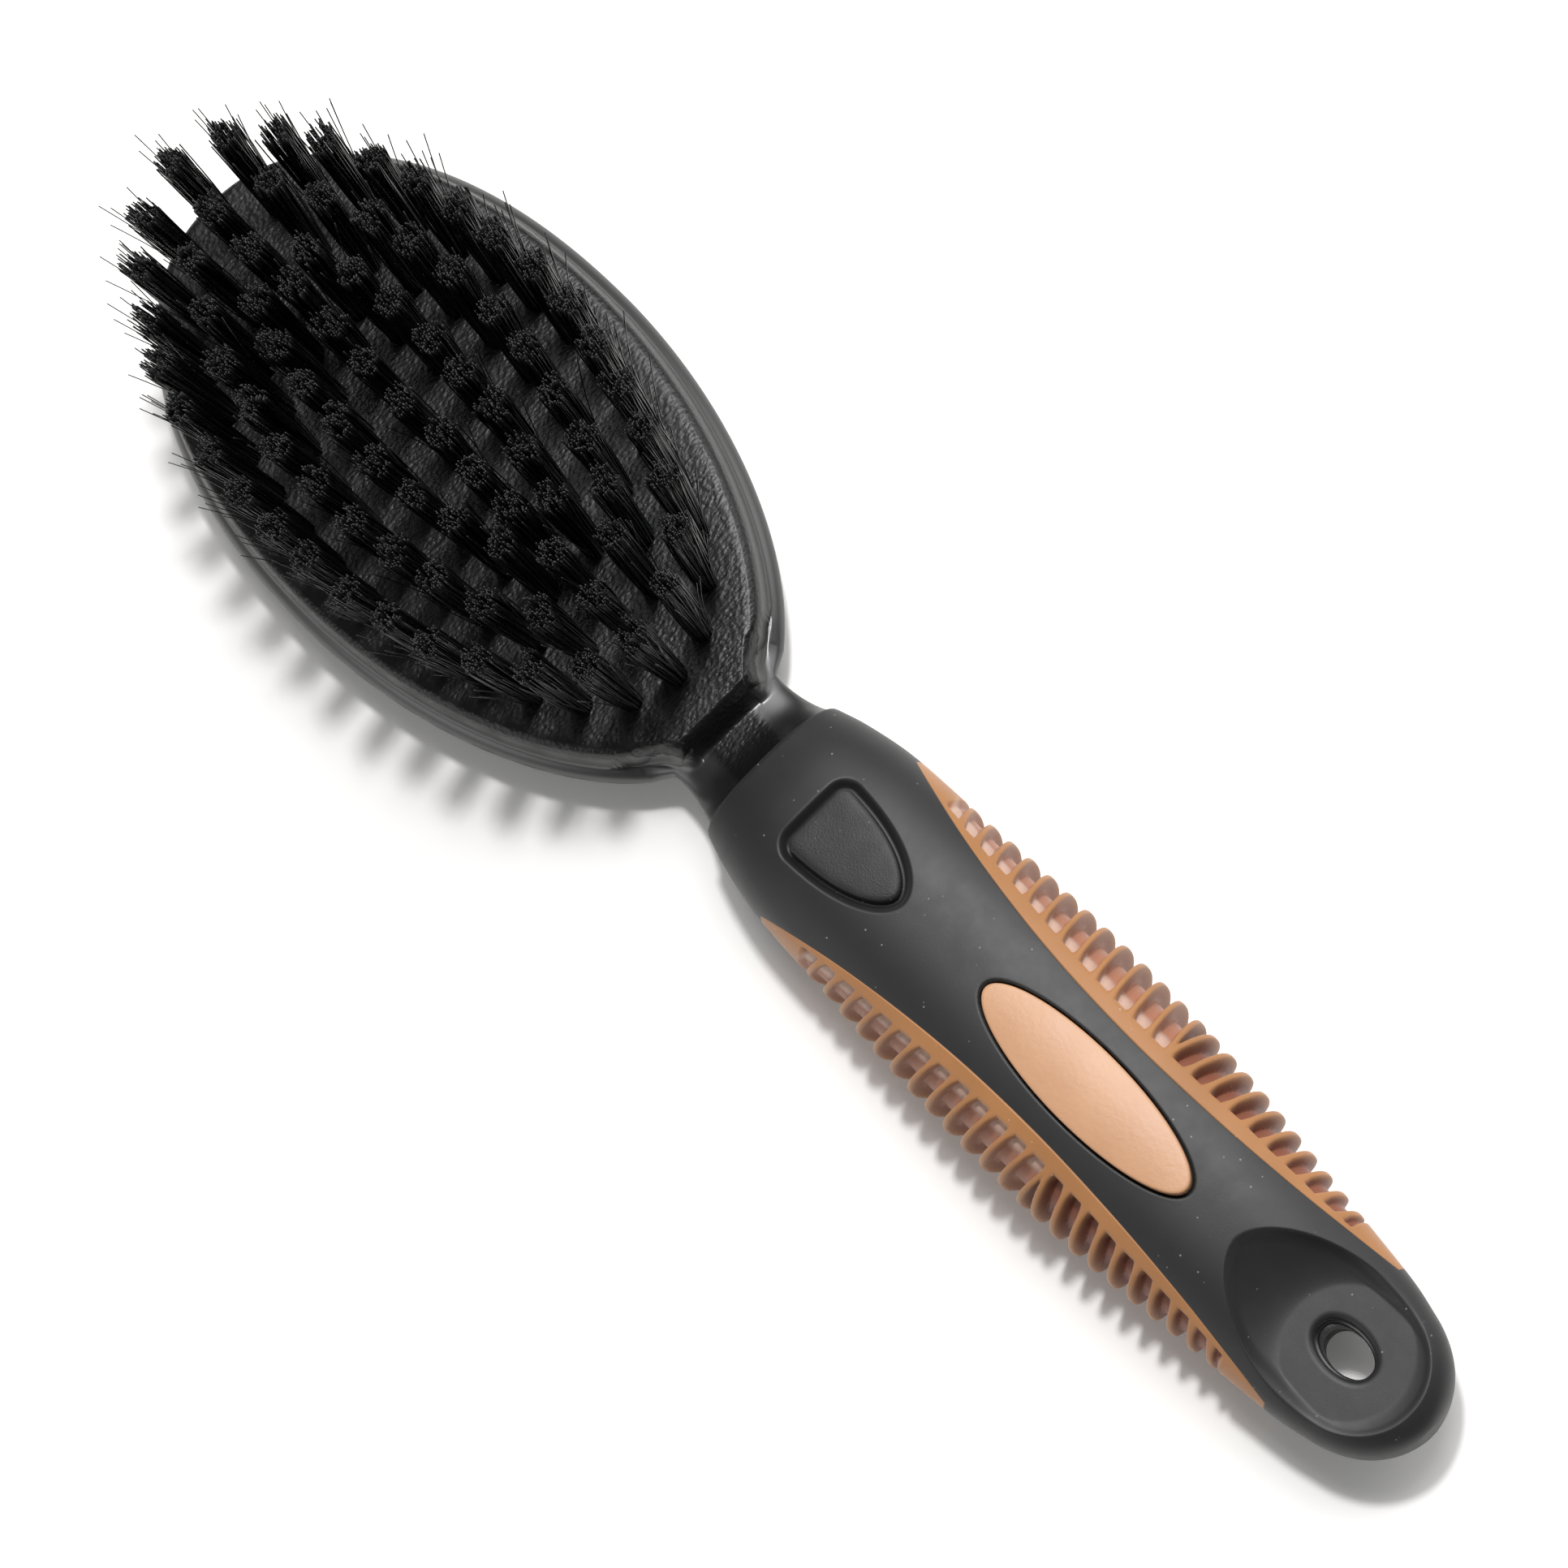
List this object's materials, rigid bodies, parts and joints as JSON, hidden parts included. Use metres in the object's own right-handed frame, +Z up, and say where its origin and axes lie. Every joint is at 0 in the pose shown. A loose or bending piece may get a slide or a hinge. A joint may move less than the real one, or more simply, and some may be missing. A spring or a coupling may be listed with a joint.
{
  "type": "bristle brush",
  "caption": "Oval-head grooming brush lying on its back: upright nylon tufts, leather-grained head, two-colour finned soft grip and a scooped tail with a hanging hole.",
  "frame": {"origin": "centre of the bounding box in plan, on the surface the brush lies on", "axes": "+X from the head to the tail, +Y across the brush to its left side, +Z up out of the bristle face"},
  "size_m": [0.23, 0.0596, 0.0387],
  "materials": {
    "head_plastic": "glossy black plastic with a fine leather grain, smooth on the flange",
    "soft_touch": "matte soft-touch black",
    "grip_rubber": "matte terracotta rubber",
    "panel_plastic": "satin grey-black",
    "inlay_plastic": "satin salmon, fine grain",
    "nylon": "black nylon filament with a soft sheen",
    "anchor_wire": "flat steel wire"
  },
  "bodies": {
    "root": {"head_block": "head_plastic", "back_cover": "head_plastic", "handle_sleeve": "soft_touch", "grip_left": "grip_rubber", "grip_right": "grip_rubber", "thumb_panel": "panel_plastic", "oval_inlay": "inlay_plastic", "tufts_outer_neck_left": "nylon", "tufts_outer_nose_left": "nylon", "tufts_outer_nose_right": "nylon", "tufts_outer_neck_right": "nylon", "tufts_second_neck_left": "nylon", "tufts_second_nose_left": "nylon", "tufts_second_nose_right": "nylon", "tufts_second_neck_right": "nylon", "tufts_third_left": "nylon", "tufts_third_right": "nylon", "tufts_centre": "nylon", "anchors_outer": "anchor_wire", "anchors_second": "anchor_wire", "anchors_third": "anchor_wire", "anchors_centre": "anchor_wire"}
  },
  "joints": []
}
